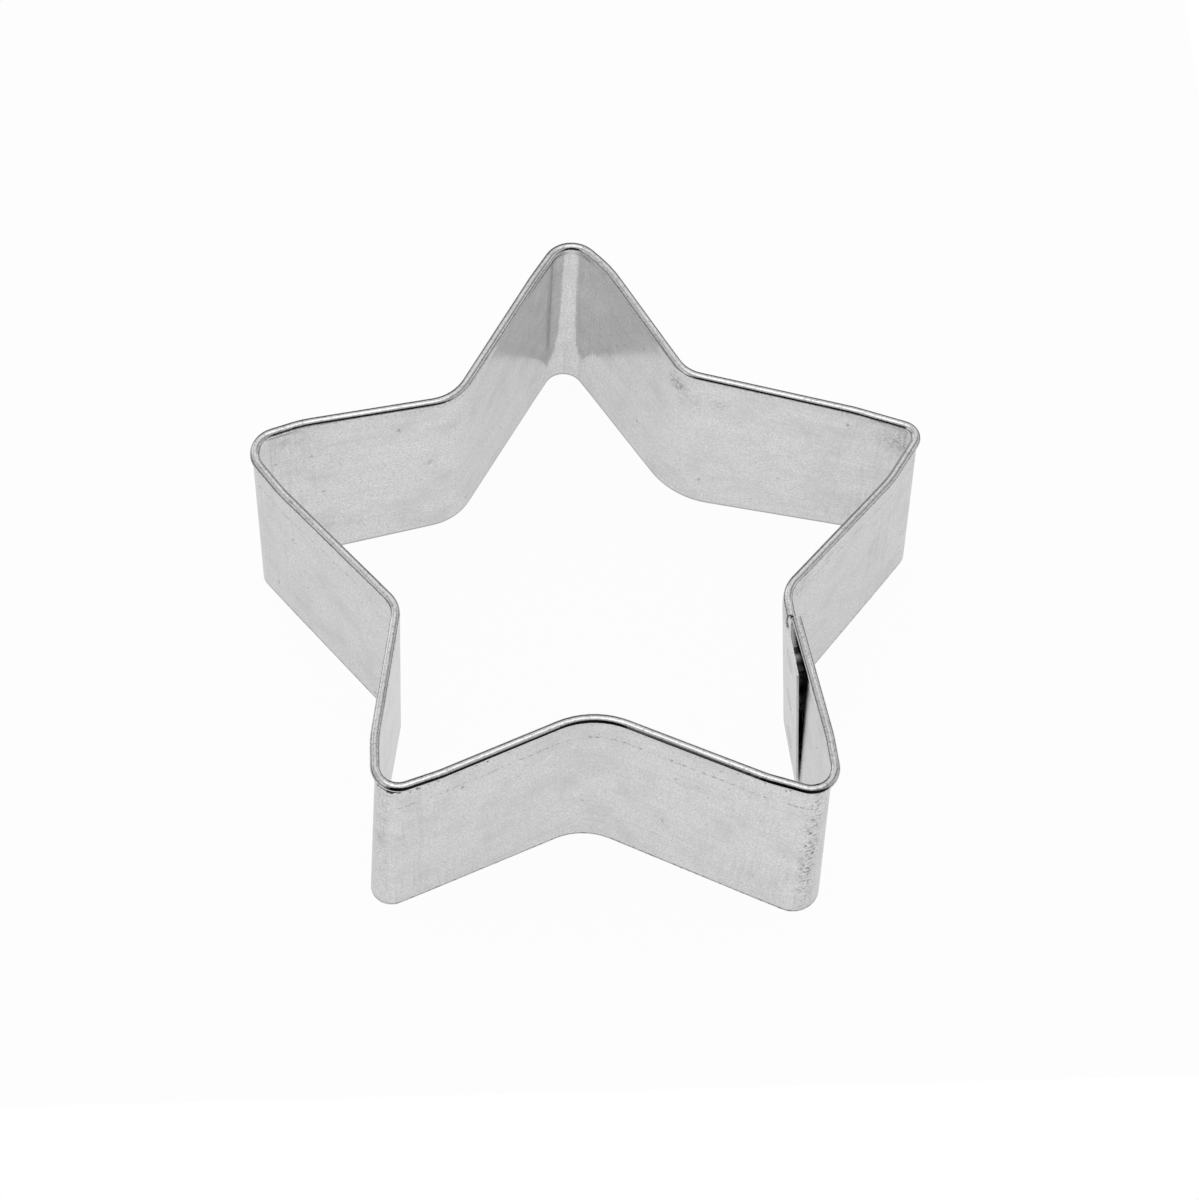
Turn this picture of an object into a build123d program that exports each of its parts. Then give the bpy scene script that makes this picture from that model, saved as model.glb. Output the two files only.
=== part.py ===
from build123d import *
import math
import os

# Star cookie cutter: one tinplate strip, rolled over along its top edge, bent into a
# five-pointed star and lapped at one inner corner, where three spot welds close it.
# The raw lower edge cuts the dough, and the hollow rolled rim is pressed by the palm.
# Millimetres, +Z up, one tip along +Y, origin under the middle of the outline.

# Overall sizes of the cutter
height = 25.0
tip_reach = 36.0
valley_reach = 20.0
tip_bend = 2.6
valley_bend = 5.0

# The legs of the star aren't straight: each is bowed outwards a little near its tip
leg_bow = 1.0
leg_bow_bend = 12.0
leg_bow_place_share = 0.27

# The strip: sheet, hollow of the rim, which is rolled outwards and stays flush with the
# wall's inner face, how far below the top the straight wall ends, and how far the wall
# of a tip stands out there, where the stiff rim took a tighter corner than the wall
sheet = 0.22
rim_bore = 0.52
neck_drop = 1.4
tip_swell = 0.6

# The lap, measured along the strip from the end of the corner's bend: where the outer
# end and the inner layer's rim stop, how long the tail is, which goes no higher than the
# straight wall, and the air between layers, which opens further towards the tail's cut
# end, where its top springs away
outer_start = 1.75
rim_stop_gap = 0.3
tail_length = 7.1
lap_gap = 0.06
tail_spring = 0.55

# Spot welds through both layers of the lap
weld_diameter = 2.4
weld_side_distance = 0.5
weld_foot_distance = 3.4
weld_rim_distance = 5.6
weld_dish_depth = 0.05
weld_dish_share = 0.85
overrun = 1.0

# Corners, clockwise from the back tip: reach at the rim and at the foot as shares of
# the tip's or the valley's reach, then the bend radius at the rim and at the foot as
# shares of the tip's or the valley's bend. The hand-bent strip is not quite regular.
corner_shares = {
    "back_tip": (0.955, 0.995, 0.85, 0.85),
    "back_right_valley": (1.025, 1.065, 0.8, 1.75),
    "right_tip": (0.965, 1.07, 0.4, 0.9),
    "right_valley": (0.985, 1.08, 0.75, 1.2),
    "front_right_tip": (1.0, 1.075, 0.75, 1.0),
    "front_valley": (0.945, 0.98, 1.7, 1.35),
    "front_left_tip": (0.945, 1.005, 0.7, 0.75),
    "left_valley": (0.98, 0.99, 0.65, 0.2),
    "left_tip": (0.96, 0.975, 0.8, 0.7),
    "back_left_valley": (0.97, 1.005, 1.05, 1.2),
}

# How far each corner stands off its even place, anticlockwise seen from above, at the
# rim and at the foot, as shares of the even angle between two corners
corner_turn_shares = {
    "back_tip": (0.025, 0.01),
    "back_right_valley": (0.17, 0.165),
    "right_tip": (0.005, 0.04),
    "right_valley": (-0.015, 0.06),
    "front_right_tip": (0.05, 0.02),
    "front_valley": (-0.025, -0.03),
    "front_left_tip": (-0.03, -0.04),
    "left_valley": (0.12, 0.125),
    "left_tip": (0.0, -0.01),
    "back_left_valley": (0.07, 0.02),
}

# Bow of the leg after each corner, at the rim and at the foot, as shares of the bow
leg_bow_shares = {
    "back_tip": (0.95, 0.05),
    "back_right_valley": (0.35, 0.05),
    "right_tip": (0.8, 0.05),
    "right_valley": (0.35, 0.05),
    "front_right_tip": (0.5, 0.05),
    "front_valley": (0.3, 0.05),
    "front_left_tip": (0.65, 0.05),
    "left_valley": (0.45, 0.05),
    "left_tip": (0.7, 0.05),
    "back_left_valley": (0.2, 0.05),
}

# How far the wall of each tip stands out at the neck, as a share of the swell
tip_swell_shares = {
    "back_tip": 0.5,
    "right_tip": 1.0,
    "front_right_tip": 0.15,
    "front_left_tip": 1.0,
    "left_tip": 1.0,
}
corner_names = list(corner_shares)
corner_step_degrees = 360.0 / len(corner_names)
back_bearing_degrees = 90.0
RIM, FOOT, NECK = 0, 1, 2
BENDS = 2

# Heights and radii that follow from the sizes above
rim_radius = rim_bore / 2 + sheet
rim_level = height - rim_radius
neck_level = height - neck_drop
HALF_TURN = 180.0
curl_end_degrees = -98.0

# Where the welds stand, as shares of the height between the lowest and the highest
weld_shares = {
    "spot_weld_lower": 0.0,
    "spot_weld_middle": 0.5,
    "spot_weld_upper": 1.0,
}


def corner(name, level):
    """Sharp corner of the strip's middle line, before it is bent round."""
    if level == NECK:
        at_rim = corner(name, RIM)
        swell = tip_swell * tip_swell_shares.get(name, 0.0)
        return at_rim + at_rim.normalized() * swell
    place = corner_names.index(name)
    reach = tip_reach if place % 2 == 0 else valley_reach
    reach = reach * corner_shares[name][level]
    steps = place - corner_turn_shares[name][level]
    bearing = math.radians(back_bearing_degrees - corner_step_degrees * steps)
    return Vector(reach * math.cos(bearing), reach * math.sin(bearing))


def bend_radius(name, level):
    """Radius of the strip's middle line round a corner; the neck's is the rim's."""
    bend = tip_bend if corner_names.index(name) % 2 == 0 else valley_bend
    return bend * corner_shares[name][BENDS + (FOOT if level == FOOT else RIM)]


def left_of(way):
    """Unit vector to the left of a level direction: the star's outside, clockwise."""
    return Vector(-way.Y, way.X)


def bow_point(name, level):
    """Where the leg after a corner is bowed outwards, nearer to the leg's tip."""
    place = corner_names.index(name)
    start = corner(name, level)
    leg = corner(corner_names[(place + 1) % len(corner_names)], level) - start
    share = leg_bow_place_share if place % 2 == 0 else 1 - leg_bow_place_share
    bow = leg_bow * leg_bow_shares[name][FOOT if level == FOOT else RIM]
    return start + leg * share + left_of(leg.normalized()) * bow


class Lap:
    """The lapped ends beside the right-hand valley, at one level of the strip."""

    def __init__(self, level):
        valley = corner("right_valley", level)
        arriving = (valley - bow_point("right_tip", level)).normalized()
        self.way = (bow_point("right_valley", level) - valley).normalized()
        self.outside = left_of(self.way)
        spring = tail_spring if level == RIM else 0.0
        step_in = -(sheet + lap_gap) / arriving.dot(self.outside)
        turn = math.radians(arriving.get_angle(self.way))
        bend_run = bend_radius("right_valley", level) * math.tan(turn / 2)
        self.outer_end = valley + self.way * (bend_run + outer_start)
        self.inner_corner = valley + arriving * step_in
        self.outer_start = (self.outer_end - self.inner_corner).dot(self.way)
        tail_run = self.way * (bend_run + tail_length) - self.outside * spring
        self.tail_end = self.inner_corner + tail_run
        self.tail_way = tail_run.normalized()
        self.rim_end = self.along(self.outer_start - rim_stop_gap)

    def along(self, distance):
        """Point of the inner layer's middle line at a distance past its corner."""
        return self.inner_corner + self.tail_way * distance

    def gap_at(self, point):
        """Air between the inner layer's outer face and the outer layer, at a point."""
        return (self.outer_end - point).dot(self.outside) - sheet


laps = {RIM: Lap(RIM), FOOT: Lap(FOOT)}
laps[NECK] = laps[RIM]


def strip_corners(level, last):
    """Sharp corners and bend radii of the strip, from its outer end to a last point."""
    first = corner_names.index("front_right_tip")
    points = [laps[level].outer_end, bow_point("right_valley", level)]
    radii = [leg_bow_bend]
    for name in corner_names[first:] + corner_names[:first - 1]:
        points += [corner(name, level), bow_point(name, level)]
        radii += [bend_radius(name, level), leg_bow_bend]
    points += [laps[level].inner_corner, last]
    radii += [bend_radius("right_valley", level)]
    return points, radii


def bent_line(points, radii, aside, z):
    """The strip's line moved aside, outwards when positive, with its bends kept parallel."""
    ways = [(b - a).normalized() for a, b in zip(points, points[1:])]
    moved = [points[0] + left_of(ways[0]) * aside]
    round_radii = []
    for point, radius, before, after in zip(points[1:], radii, ways, ways[1:]):
        middle = (left_of(before) + left_of(after)).normalized()
        moved.append(point + middle * (aside / middle.dot(left_of(after))))
        bends_right = before.cross(after).Z < 0
        round_radii.append(radius + aside if bends_right else radius - aside)
    moved.append(points[-1] + left_of(ways[-1]) * aside)
    raised = [Vector(point.X, point.Y, z) for point in moved]
    return FilletPolyline(*raised, radius=round_radii)


def band(points, radii, z):
    """Level slice of the sheet: its line given the sheet's thickness."""
    outer = bent_line(points, radii, sheet / 2, z)
    inner = bent_line(points, radii, -sheet / 2, z)
    ends = [Line(outer @ 1, inner @ 1), Line(inner @ 0, outer @ 0)]
    return make_face(outer.edges() + inner.edges() + ends)


def on_circle(centre, radius, degrees):
    """Point of a circle in the section's plane."""
    angle = math.radians(degrees)
    return (centre[0] + radius * math.cos(angle), centre[1] + radius * math.sin(angle))


def rolled_section(start, way):
    """Section of the hollow roll, which goes on upwards from the skirt's two faces."""
    centre = (rim_radius - sheet / 2, rim_level)
    inner_foot = (-sheet / 2, rim_level)
    outer_foot = (sheet / 2, rim_level)
    bore_radius = rim_bore / 2
    arc_middle = (HALF_TURN + curl_end_degrees) / 2
    skin_end = on_circle(centre, rim_radius, curl_end_degrees)
    bore_end = on_circle(centre, bore_radius, curl_end_degrees)
    with BuildSketch(Plane(origin=start, x_dir=left_of(way), z_dir=way)) as section:
        with BuildLine():
            ThreePointArc(inner_foot, on_circle(centre, rim_radius, arc_middle), skin_end)
            Line(skin_end, bore_end)
            ThreePointArc(bore_end, on_circle(centre, bore_radius, arc_middle), outer_foot)
            Line(outer_foot, inner_foot)
        make_face()
    return section.sketch


def make_strip():
    """Wall with its tail, skirt and rolled rim of the one strip."""
    foot = band(*strip_corners(FOOT, laps[FOOT].tail_end), 0.0)
    neck = band(*strip_corners(NECK, laps[NECK].tail_end), neck_level)
    wall = loft([foot, neck], ruled=True)
    rim_points, rim_radii = strip_corners(RIM, laps[RIM].rim_end)
    skirt_foot = band(*strip_corners(NECK, laps[NECK].rim_end), neck_level)
    skirt = loft([skirt_foot, band(rim_points, rim_radii, rim_level)], ruled=True)
    rim_line = bent_line(rim_points, rim_radii, 0.0, 0.0)
    rim = sweep(rolled_section(rim_points[0], laps[RIM].way), path=rim_line)
    return wall + skirt + rim


def weld_place(share):
    """Frame of a weld: on the tail's inner face, looking out through both layers."""
    z = weld_foot_distance + share * (height - weld_foot_distance - weld_rim_distance)
    rise = z / neck_level
    distance = weld_side_distance + weld_diameter / 2
    foot = laps[FOOT].along(laps[FOOT].outer_start + distance)
    neck = laps[NECK].along(laps[NECK].outer_start + distance)
    middle = foot + (neck - foot) * rise + Vector(0, 0, z)
    way = laps[FOOT].tail_way + (laps[NECK].tail_way - laps[FOOT].tail_way) * rise
    upward = neck - foot + Vector(0, 0, neck_level)
    outward = upward.cross(way).normalized()
    if outward.dot(laps[NECK].outside) < 0:
        outward = outward * -1
    foot_gap, neck_gap = laps[FOOT].gap_at(foot), laps[NECK].gap_at(neck)
    gap = foot_gap + (neck_gap - foot_gap) * rise
    face = Plane(origin=middle - outward * (sheet / 2), x_dir=way, z_dir=outward)
    return face, 2 * sheet + gap


def make_weld(face, through):
    """Fused disc through both sheets, with the electrodes' shallow dishes in its faces."""
    radius = weld_diameter / 2
    dish = radius * weld_dish_share
    ball = (dish ** 2 + weld_dish_depth ** 2) / (2 * weld_dish_depth)
    to_foot = (Align.CENTER, Align.CENTER, Align.MIN)
    disc = Cylinder(radius, through, align=to_foot)
    near = Pos(0, 0, weld_dish_depth - ball) * Sphere(ball)
    far = Pos(0, 0, through - weld_dish_depth + ball) * Sphere(ball)
    return face * (disc - near - far)


def make_weld_hole(face, through):
    """Room for a weld in both sheets."""
    hole = Cylinder(weld_diameter / 2, through + 2 * overrun)
    return face * (Pos(0, 0, through / 2) * hole)


os.makedirs("parts", exist_ok=True)
pieces = {"cutter_strip": make_strip()}
for weld_name, weld_share in weld_shares.items():
    weld_face, weld_through = weld_place(weld_share)
    pieces[weld_name] = make_weld(weld_face, weld_through)
    pieces["cutter_strip"] = pieces["cutter_strip"] - make_weld_hole(weld_face, weld_through)

outline_middle = pieces["cutter_strip"].bounding_box().center()
to_origin = Pos(-outline_middle.X, -outline_middle.Y, 0)
print("outline middle moved by", -outline_middle.X, -outline_middle.Y)
for piece_name, piece in pieces.items():
    export_step(to_origin * piece, f"parts/{piece_name}.step")
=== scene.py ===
import math
import bpy
from mathutils import Matrix, Vector

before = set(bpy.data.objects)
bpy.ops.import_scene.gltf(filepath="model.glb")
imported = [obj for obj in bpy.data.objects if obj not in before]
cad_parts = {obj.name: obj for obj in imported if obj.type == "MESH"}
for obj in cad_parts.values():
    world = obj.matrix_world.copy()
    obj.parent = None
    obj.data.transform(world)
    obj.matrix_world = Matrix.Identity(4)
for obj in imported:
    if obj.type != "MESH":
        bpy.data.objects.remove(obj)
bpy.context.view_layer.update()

# The cutter strip: one ribbon of tinplate, thin mild steel dipped in tin, rolled over
# outwards along its top, bent by hand round the ten corners of the star and lapped beside
# the right-hand inner corner. The CAD node has its shape, so it gets its finish here.
MM = 0.001

# Sockets that share a name go by number. On a Mix node these are how much of the upper
# colour shows, the lower colour and the upper colour.
SHARE = 0
LOWER = 6
UPPER = 7


def linear(hex_colour):
    """Turns an sRGB hex colour into the linear colour that a shader socket takes."""
    parts = [int(hex_colour[place:place + 2], 16) / 255 for place in (1, 3, 5)]
    parts = [part / 12.92 if part <= 0.04045 else ((part + 0.055) / 1.055) ** 2.4 for part in parts]
    return parts + [1.0]


def add_node(tree, kind, inputs=None, links=None, **settings):
    """Adds one node with its settings, the values of its sockets and the links into it. A
    link comes from a socket, or from a node, which stands for its first output in use."""
    node = tree.nodes.new(kind)
    for name, value in settings.items():
        setattr(node, name, value)
    for name, value in (inputs or {}).items():
        node.inputs[name].default_value = value
    for name, source in (links or {}).items():
        if isinstance(source, bpy.types.Node):
            source = next(socket for socket in source.outputs if socket.enabled)
        tree.links.new(source, node.inputs[name])
    return node


def empty_material(name):
    """A node material with nothing but its output."""
    made = bpy.data.materials.new(name)
    made.use_nodes = True
    made.node_tree.nodes.clear()
    return made, made.node_tree, made.node_tree.nodes.new("ShaderNodeOutputMaterial")


def dress(node_name, material):
    """Gives a CAD node its finish."""
    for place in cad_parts[node_name].material_slots:
        place.material = material


# Tinplate, cold-rolled, tinned, rolled and bent: a soft grey mirror with a fine pebbled
# grain, cloudy patches where the tin is thicker, stains, specks and handling marks. The
# former left a thin line round it under the rim, and grease sits under the rolled edge.
# Painted shade darkens the creases at the tips, the inside of the right-hand tip and the
# wall just under the roll.
tinplate, tree, output = empty_material("tinplate")
at = add_node(tree, "ShaderNodeTexCoord").outputs["Object"]
height = add_node(tree, "ShaderNodeSeparateXYZ", links={0: at}).outputs["Z"]

# The pebbled grain of the tin, about 0.17 mm, is as fine as the picture can show
GRAIN = 0.17 * MM
TIN_DULL = "#D0D0D0"
TIN_BRIGHT = "#F0F0F0"
grain = add_node(tree, "ShaderNodeTexNoise",
                 {"Scale": 1 / GRAIN, "Detail": 1.0, "Roughness": 0.6}, {"Vector": at})
grain_share = add_node(tree, "ShaderNodeMapRange", {"From Min": 0.32, "From Max": 0.68}, {"Value": grain})
skin = add_node(tree, "ShaderNodeMix", {LOWER: linear(TIN_DULL), UPPER: linear(TIN_BRIGHT)},
                {SHARE: grain_share}, data_type="RGBA")

# The layers over the grain are listed in order, each with its colour, its share and the
# zone that it keeps to, or None. First the tin's own clouds, stains, faint lines along the
# strip from the cold rolling, drawn coarser than they are so that they show, and specks.
CLOUD = 3.5 * MM
STAIN = 6.0 * MM
ROLLING_LINE = 0.35 * MM
SPECK = 1.3 * MM
TIN_CLOUD = "#CBCBCB"
TIN_STAIN_AND_CREASE_SHADE = "#B9B9B9"
SPECK_GREY = "#969696"
DRAWN_OUT_LENGTHWISE = (0.05, 0.05, 1.0)
along = add_node(tree, "ShaderNodeVectorMath", {1: DRAWN_OUT_LENGTHWISE}, {0: at}, operation="MULTIPLY")
tin_shares = {}
layers = []
for name, colour, size, where, detail, roughness, start, full, most in (
        ("cloud", TIN_CLOUD, CLOUD, at, 4.0, 0.6, 0.45, 0.75, 0.6),
        ("stain", TIN_STAIN_AND_CREASE_SHADE, STAIN, at, 6.0, 0.72, 0.62, 0.72, 0.55),
        ("rolling line", TIN_CLOUD, ROLLING_LINE, along, 2.0, 0.5, 0.5, 0.75, 0.35),
        ("speck", SPECK_GREY, SPECK, at, 2.0, 0.75, 0.7, 0.76, 0.7)):
    pattern = add_node(tree, "ShaderNodeTexNoise",
                       {"Scale": 1 / size, "Detail": detail, "Roughness": roughness}, {"Vector": where})
    tin_shares[name] = add_node(tree, "ShaderNodeMapRange",
                                {"From Min": start, "From Max": full, "To Max": most}, {"Value": pattern})
    layers.append((colour, tin_shares[name], None))

# The outer face of the strip is the one that faces away from the star's middle. Most marks
# of the tools are on it alone, broken into spots.
STAR_MIDDLE = (-1.03 * MM, -2.27 * MM, 0.0)
MARK_SPOT = 0.35 * MM
MARK_AND_SHADE_GREY = "#5E5E5E"
FLATTENED = (1.0, 1.0, 0.0)
plan = add_node(tree, "ShaderNodeVectorMath", {1: FLATTENED}, {0: at}, operation="MULTIPLY")
outwards = add_node(tree, "ShaderNodeVectorMath", {1: STAR_MIDDLE}, {0: plan}, operation="SUBTRACT")
facing = add_node(tree, "ShaderNodeNewGeometry").outputs["Normal"]
away = add_node(tree, "ShaderNodeVectorMath", links={0: facing, 1: outwards}, operation="DOT_PRODUCT")
outer = add_node(tree, "ShaderNodeMath", {1: 0.0}, {0: away}, operation="GREATER_THAN")
mark = add_node(tree, "ShaderNodeTexNoise",
                {"Scale": 1 / MARK_SPOT, "Detail": 2.0, "Roughness": 0.7}, {"Vector": at})
mark_share = add_node(tree, "ShaderNodeMapRange", {"From Min": 0.5, "From Max": 0.62, "To Max": 0.8},
                      {"Value": mark})
outer_mark = add_node(tree, "ShaderNodeMath", links={0: mark_share, 1: outer}, operation="MULTIPLY")

# Fine creases where the strip was bent sharply round the five tips, darkened in colour as
# painted shade in the creases
TIP_ZONE_START = 27.0 * MM
TIP_ZONE_FULL = 30.5 * MM
CREASE = 0.4 * MM
DRAWN_OUT_UPRIGHT = (1.0, 1.0, 0.05)
reach = add_node(tree, "ShaderNodeVectorMath", links={0: outwards}, operation="LENGTH")
tip_zone = add_node(tree, "ShaderNodeMapRange", {"From Min": TIP_ZONE_START, "From Max": TIP_ZONE_FULL},
                    {"Value": reach}, interpolation_type="SMOOTHSTEP")
upright = add_node(tree, "ShaderNodeVectorMath", {1: DRAWN_OUT_UPRIGHT}, {0: at}, operation="MULTIPLY")
crease = add_node(tree, "ShaderNodeTexNoise", {"Scale": 1 / CREASE, "Detail": 2.0}, {"Vector": upright})
crease_shade_share = add_node(tree, "ShaderNodeMapRange", {"From Min": 0.5, "From Max": 0.7, "To Max": 0.25},
                        {"Value": crease})
layers.append((TIN_STAIN_AND_CREASE_SHADE, crease_shade_share, tip_zone))

# Marks with a place of their own, each with its place, how far it spreads and how dark it
# is: dents from the bending tool down the two front tips, and smudges from handling. The
# first of the smudges is painted shade in the inside corner of the right-hand tip. The
# core is the share of the spread that is darkest.
DENTS_MM = (
    ((19.7, -30.7, 0.0), 1.2, 1.0),
    ((-21.3, -28.8, 0.0), 1.2, 0.35))
DENT_CORE = 0.3
SMUDGES_AND_SHADE_MM = (
    # painted shade inside the right-hand tip
    ((30.7, 9.6, 21.0), 3.2, 0.5),
    ((8.9, 16.3, 22.0), 1.7, 0.9),
    ((13.1, 14.5, 20.7), 1.3, 0.4),
    ((-18.85, 11.95, 21.05), 0.5, 1.0),
    ((-15.9, 12.6, 13.6), 0.9, 0.4))
SMUDGE_AND_SHADE_CORE = 0.2
smudge_and_shade_share = add_node(tree, "ShaderNodeMapRange", {"From Min": 0.4, "From Max": 0.66}, {"Value": mark})
for marks, core, where, zone in (
        (DENTS_MM, DENT_CORE, plan, outer_mark),
        (SMUDGES_AND_SHADE_MM, SMUDGE_AND_SHADE_CORE, at, smudge_and_shade_share)):
    for place, spread, darkness in marks:
        off_place = add_node(tree, "ShaderNodeVectorMath", {1: [part * MM for part in place]}, {0: where},
                             operation="DISTANCE")
        fading = add_node(tree, "ShaderNodeMapRange", {
            "From Min": core * spread * MM, "From Max": spread * MM, "To Min": darkness, "To Max": 0.0},
            {"Value": off_place})
        layers.append((MARK_AND_SHADE_GREY, fading, zone))

# The former's line round the outer face, broken into spots
FORMING_LINE_HEIGHT = 20.4 * MM
FORMING_LINE_HALF_WIDTH = 0.15 * MM
LINE_GREY = "#959595"
forming_line = add_node(tree, "ShaderNodeMath", {1: FORMING_LINE_HEIGHT, 2: FORMING_LINE_HALF_WIDTH},
                        {0: height}, operation="COMPARE")
line_mark = add_node(tree, "ShaderNodeMath", links={0: forming_line, 1: outer_mark}, operation="MULTIPLY")
layers.append((LINE_GREY, line_mark, None))

# Grease and dirt in spots under the rolled edge, on the outer face alone, with painted
# shade: the spots grow denser towards the roll and nearly close into a dark band there,
# which is the painted shadow under the roll.
ROLL_START_HEIGHT = 23.9 * MM
ROLL_DIRT_AND_SHADE_START = 22.3 * MM
ROLL_DIRT_AND_SHADE_FULL = 23.8 * MM
ROLL_DIRT_AND_SHADE_SPOT = 0.45 * MM
ROLL_DIRT_AND_SHADE = "#4A4A4A"
closeness = add_node(tree, "ShaderNodeMapRange", {
    "From Min": ROLL_DIRT_AND_SHADE_START, "From Max": ROLL_DIRT_AND_SHADE_FULL, "To Min": -0.2, "To Max": 0.1},
    {"Value": height})
spots = add_node(tree, "ShaderNodeTexNoise", {"Scale": 1 / ROLL_DIRT_AND_SHADE_SPOT, "Detail": 2.0}, {"Vector": at})
spots = add_node(tree, "ShaderNodeMath", links={0: spots, 1: closeness}, operation="ADD")
spot_share = add_node(tree, "ShaderNodeMapRange", {"From Min": 0.54, "From Max": 0.62, "To Max": 0.9},
                      {"Value": spots})
below_roll = add_node(tree, "ShaderNodeMath", {1: ROLL_START_HEIGHT}, {0: height}, operation="LESS_THAN")
outer_below = add_node(tree, "ShaderNodeMath", links={0: outer, 1: below_roll}, operation="MULTIPLY")
# grease spots, and the painted shadow under the roll
layers.append((ROLL_DIRT_AND_SHADE, spot_share, outer_below))

# The roll is scuffed by the dies that curled it: fine dark specks on the bead
ROLL_SPECK = 0.3 * MM
on_roll = add_node(tree, "ShaderNodeMath", {1: ROLL_START_HEIGHT}, {0: height}, operation="GREATER_THAN")
scuff = add_node(tree, "ShaderNodeTexNoise",
                 {"Scale": 1 / ROLL_SPECK, "Detail": 2.0, "Roughness": 0.7}, {"Vector": at})
scuff_share = add_node(tree, "ShaderNodeMapRange", {"From Min": 0.54, "From Max": 0.7, "To Max": 0.45},
                       {"Value": scuff})
layers.append((MARK_AND_SHADE_GREY, scuff_share, on_roll))

# The sheared lower edge shows the bare steel, with dark spots where the shear tore it
CUT_EDGE_HEIGHT = 0.3 * MM
BARE_STEEL = "#BDBDBD"
cut_edge = add_node(tree, "ShaderNodeMath", {1: CUT_EDGE_HEIGHT}, {0: height}, operation="LESS_THAN")
layers.append((BARE_STEEL, cut_edge, None))
layers.append((MARK_AND_SHADE_GREY, cut_edge, outer_mark))

# Each layer covers the ones before it
for colour, share, zone in layers:
    if zone is not None:
        share = add_node(tree, "ShaderNodeMath", links={0: share, 1: zone}, operation="MULTIPLY")
    skin = add_node(tree, "ShaderNodeMix", {UPPER: linear(colour)}, {SHARE: share, LOWER: skin},
                    data_type="RGBA")

# Shine: the clouds and stains are duller than the clear tin, and the dies that curled the
# roll left it brighter than the wall. At a grazing angle the tin mirrors a little less than
# all the light.
CLEAR_ROUGHNESS = 0.15
STAINED_ROUGHNESS = 0.27
BURNISHED = 0.6
GRAZING_GREY = "#ECECEC"
dulled = add_node(tree, "ShaderNodeMath", links={0: tin_shares["cloud"], 1: tin_shares["stain"]},
                  operation="ADD")
roughness = add_node(tree, "ShaderNodeMapRange", {"To Min": CLEAR_ROUGHNESS, "To Max": STAINED_ROUGHNESS},
                     {"Value": dulled})
burnish = add_node(tree, "ShaderNodeMapRange", {"To Min": 1.0, "To Max": BURNISHED}, {"Value": on_roll})
roughness = add_node(tree, "ShaderNodeMath", links={0: roughness, 1: burnish}, operation="MULTIPLY")

# The sheet isn't dead flat: it waves a little, is creased at the tips, is pressed in along
# the former's line and is pebbled. Each of these bumps lies on the one before.
WAVE = 4.0 * MM
WAVE_DEPTH = 0.02 * MM
CREASE_DEPTH = 0.02 * MM
LINE_DEPTH = 0.006 * MM
GRAIN_DEPTH = 0.002 * MM
wave = add_node(tree, "ShaderNodeTexNoise", {"Scale": 1 / WAVE, "Detail": 1.0}, {"Vector": at})
tip_crease = add_node(tree, "ShaderNodeMath", links={0: crease, 1: tip_zone}, operation="MULTIPLY")
relief = {}
for bump_height, depth, pressed_in in (
        (wave, WAVE_DEPTH, False),
        (tip_crease, CREASE_DEPTH, False),
        (line_mark, LINE_DEPTH, True),
        (grain, GRAIN_DEPTH, False)):
    bump = add_node(tree, "ShaderNodeBump", {"Strength": 1.0, "Distance": depth},
                    {"Height": bump_height, **relief}, invert=pressed_in)
    relief = {"Normal": bump}
shader = add_node(tree, "ShaderNodeBsdfPrincipled", {"Metallic": 1.0, "Specular Tint": linear(GRAZING_GREY)},
                  {"Base Color": skin, "Roughness": roughness, **relief})
tree.links.new(shader.outputs["BSDF"], output.inputs["Surface"])
dress("cutter_strip", tinplate)

# The three spot welds: discs of the two sheets fused into one under the electrodes, which
# left a shallow, duller dish with a squeezed ring round it on both faces of the lap.
WELD_GRAIN = 0.25 * MM
WELD_GRAIN_DEPTH = 0.01 * MM
WELD_ROUGHNESS = 0.34
WELD_BRIGHT = "#DEDEDE"
WELD_DULL = "#C0C0C0"
WELD_RING = "#A0A0A0"
fused, tree, output = empty_material("fused_tinplate")
coords = add_node(tree, "ShaderNodeTexCoord")
fused_grain = add_node(tree, "ShaderNodeTexNoise",
                       {"Scale": 1 / WELD_GRAIN, "Detail": 3.0, "Roughness": 0.7},
                       {"Vector": coords.outputs["Object"]})
fused_skin = add_node(tree, "ShaderNodeMix", {LOWER: linear(WELD_DULL), UPPER: linear(WELD_BRIGHT)},
                      {SHARE: fused_grain}, data_type="RGBA")

# The ring is found by the distance from the disc's middle, as a share of its diameter
DISC_MIDDLE = (0.5, 0.5, 0.5)
RING_REACH = 0.44
RING_HALF_WIDTH = 0.04
RING_STRENGTH = 0.7
off_middle = add_node(tree, "ShaderNodeVectorMath", {1: DISC_MIDDLE}, {0: coords.outputs["Generated"]},
                      operation="SUBTRACT")
parted = add_node(tree, "ShaderNodeSeparateXYZ", links={0: off_middle})
across = add_node(tree, "ShaderNodeCombineXYZ", links={0: parted.outputs["Y"], 1: parted.outputs["Z"]})
distance = add_node(tree, "ShaderNodeVectorMath", links={0: across}, operation="LENGTH")
ring = add_node(tree, "ShaderNodeMath", {1: RING_REACH, 2: RING_HALF_WIDTH}, {0: distance},
                operation="COMPARE")
ring_share = add_node(tree, "ShaderNodeMath", {1: RING_STRENGTH}, {0: ring}, operation="MULTIPLY")
fused_skin = add_node(tree, "ShaderNodeMix", {UPPER: linear(WELD_RING)},
                      {SHARE: ring_share, LOWER: fused_skin}, data_type="RGBA")
fused_bump = add_node(tree, "ShaderNodeBump", {"Strength": 1.0, "Distance": WELD_GRAIN_DEPTH},
                      {"Height": fused_grain})
shader = add_node(tree, "ShaderNodeBsdfPrincipled", {"Metallic": 1.0, "Roughness": WELD_ROUGHNESS},
                  {"Base Color": fused_skin, "Normal": fused_bump})
tree.links.new(shader.outputs["BSDF"], output.inputs["Surface"])
for weld_name in ("spot_weld_lower", "spot_weld_middle", "spot_weld_upper"):
    dress(weld_name, fused)

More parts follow.
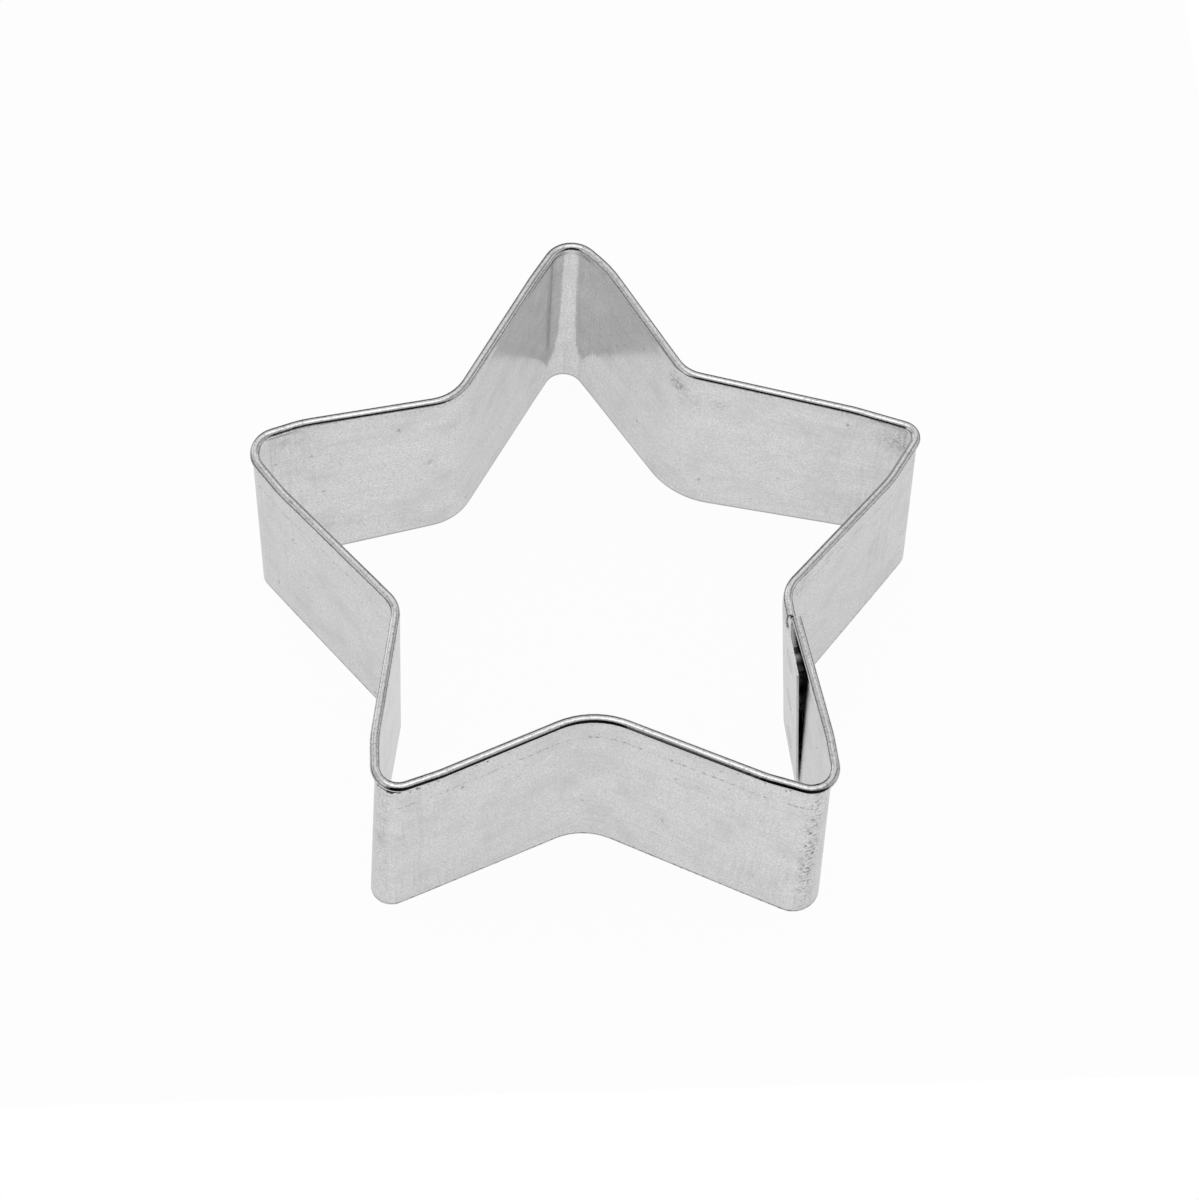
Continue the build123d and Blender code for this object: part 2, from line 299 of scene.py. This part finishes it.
# The table: white card that ends a little in front of the cutter. In the photograph the
# near side of the rim shows the dark room beyond the card's front edge. The card lies a
# hair lower than the cutting edge, so that the two don't share a plane.
CARD_LEFT = 90.0 * MM
CARD_RIGHT = 72.0 * MM
CARD_BACK = 92.0 * MM
CARD_FRONT = 50.0 * MM
CARD_DROP = 0.2 * MM
card_mesh = bpy.data.meshes.new("white_card")
card_mesh.from_pydata([
    (-CARD_LEFT, -CARD_FRONT, -CARD_DROP), (CARD_RIGHT, -CARD_FRONT, -CARD_DROP),
    (CARD_RIGHT, CARD_BACK, -CARD_DROP), (-CARD_LEFT, CARD_BACK, -CARD_DROP)], [], [(0, 1, 2, 3)])
card = bpy.data.objects.new("white_card", card_mesh)
bpy.context.scene.collection.objects.link(card)

# The camera sees the card as clean white with a trace of the cutter's shadow. The tin
# mirrors it as it lay in the cutter's shade, which is darker.
PAPER_WHITE = "#F4F4F4"
CARD_SEEN = 0.96
CARD_MIRRORED = 0.75
paper, tree, output = empty_material("white_card")
path = add_node(tree, "ShaderNodeLightPath")
mirrored = add_node(tree, "ShaderNodeMath", {1: CARD_MIRRORED}, {0: path.outputs["Is Glossy Ray"]},
                    operation="MULTIPLY")
seen = add_node(tree, "ShaderNodeMath", {1: CARD_SEEN}, {0: path.outputs["Is Camera Ray"]},
                operation="MULTIPLY")
seen = add_node(tree, "ShaderNodeMath", links={0: seen, 1: mirrored}, operation="MAXIMUM")
matt = add_node(tree, "ShaderNodeBsdfDiffuse", {"Color": linear(PAPER_WHITE)})
glow = add_node(tree, "ShaderNodeEmission", {"Color": (1, 1, 1, 1), "Strength": 1.0})
blend = add_node(tree, "ShaderNodeMixShader", links={0: seen, 1: matt, 2: glow})
tree.links.new(blend.outputs[0], output.inputs["Surface"])
card_mesh.materials.append(paper)

# The room: a soft round lamp straight above, walls that fade into the dark straight in
# front and straight behind and are brighter above the horizon than below it, and a paler
# wall on each side. Each of these is a ramp of brightness over one part of the direction.
ROOM_LIGHT = 1.42
LAMP_DIRECTION = (0.01, 0.06, 0.998)
world = bpy.data.worlds.new("soft_studio")
bpy.context.scene.world = world
world.use_nodes = True
tree = world.node_tree
tree.nodes.clear()
output = tree.nodes.new("ShaderNodeOutputWorld")
towards = add_node(tree, "ShaderNodeTexCoord").outputs["Generated"]
split = add_node(tree, "ShaderNodeSeparateXYZ", links={0: towards})
overhead = add_node(tree, "ShaderNodeVectorMath", {1: LAMP_DIRECTION}, {0: towards},
                    operation="DOT_PRODUCT")
light = {}
for name, direction_part, stops in (
        ("lamp", overhead,
         ((0.75, 0.0), (0.85, 0.16), (0.93, 0.27), (1.0, 1.0))),
        ("depth", split.outputs["Y"],
         ((-0.8, 0.0), (-0.6, 0.42), (-0.35, 0.28), (0.3, 0.2), (0.7, 0.62), (1.0, 0.02))),
        ("rise", split.outputs["Z"],
         ((-0.3, 0.0), (0.0, 0.1), (0.25, 1.0))),
        ("sides", split.outputs["X"],
         ((-1.0, 0.1), (-0.75, 0.27), (-0.45, 0.0), (0.45, 0.01), (0.75, 0.01), (1.0, 0.36)))):
    share = add_node(tree, "ShaderNodeMapRange", {"From Min": -1.0}, {"Value": direction_part})
    light[name] = add_node(tree, "ShaderNodeValToRGB", links={0: share})
    points = light[name].color_ramp.elements
    while len(points) < len(stops):
        points.new(1.0)
    for point, (where, bright) in zip(points, stops):
        point.position = (where + 1) / 2
        point.color = (bright, bright, bright, 1)
walls = add_node(tree, "ShaderNodeMath", links={0: light["depth"], 1: light["rise"]}, operation="MULTIPLY")
walls = add_node(tree, "ShaderNodeMath", links={0: walls, 1: light["sides"]}, operation="ADD")
room = add_node(tree, "ShaderNodeMath", links={0: walls, 1: light["lamp"]}, operation="ADD")
studio = add_node(tree, "ShaderNodeBackground", {"Strength": ROOM_LIGHT}, {"Color": room})

# The camera sees plain white in place of the room
white = add_node(tree, "ShaderNodeBackground", {"Color": (1, 1, 1, 1), "Strength": 1.0})
path = add_node(tree, "ShaderNodeLightPath")
blend = add_node(tree, "ShaderNodeMixShader", links={0: path.outputs["Is Camera Ray"], 1: studio, 2: white})
tree.links.new(blend.outputs[0], output.inputs["Surface"])

# The camera, matched to the rim and the cutting edge in the photograph: it looks steeply
# down at the cutter from in front and a little to the left, and is tilted a little
AZIMUTH = math.radians(-7.016)
ELEVATION = math.radians(61.032)
ROLL = math.radians(5.068)
TARGET_MM = (0.6394, -2.9898, 12.5)
CAMERA_DISTANCE = 370.158 * MM
LENS_MM = 111.6729
SENSOR_MM = 36.0
NEAREST_SEEN = 10 * MM
back = Vector((
    math.sin(AZIMUTH) * math.cos(ELEVATION),
    -math.cos(AZIMUTH) * math.cos(ELEVATION),
    math.sin(ELEVATION)))
level_right = Vector((math.cos(AZIMUTH), math.sin(AZIMUTH), 0))
level_up = back.cross(level_right)
right = level_right * math.cos(ROLL) + level_up * math.sin(ROLL)
up = level_up * math.cos(ROLL) - level_right * math.sin(ROLL)
target = Vector([part * MM for part in TARGET_MM])
camera = bpy.data.objects.new("camera", bpy.data.cameras.new("camera"))
bpy.context.scene.collection.objects.link(camera)
turn = Matrix((right, up, back)).transposed().to_4x4()
camera.matrix_world = Matrix.Translation(target + back * CAMERA_DISTANCE) @ turn
camera.data.sensor_width = SENSOR_MM
camera.data.lens = LENS_MM
camera.data.clip_start = NEAREST_SEEN
bpy.context.scene.camera = camera
bpy.context.scene.view_settings.view_transform = "Standard"
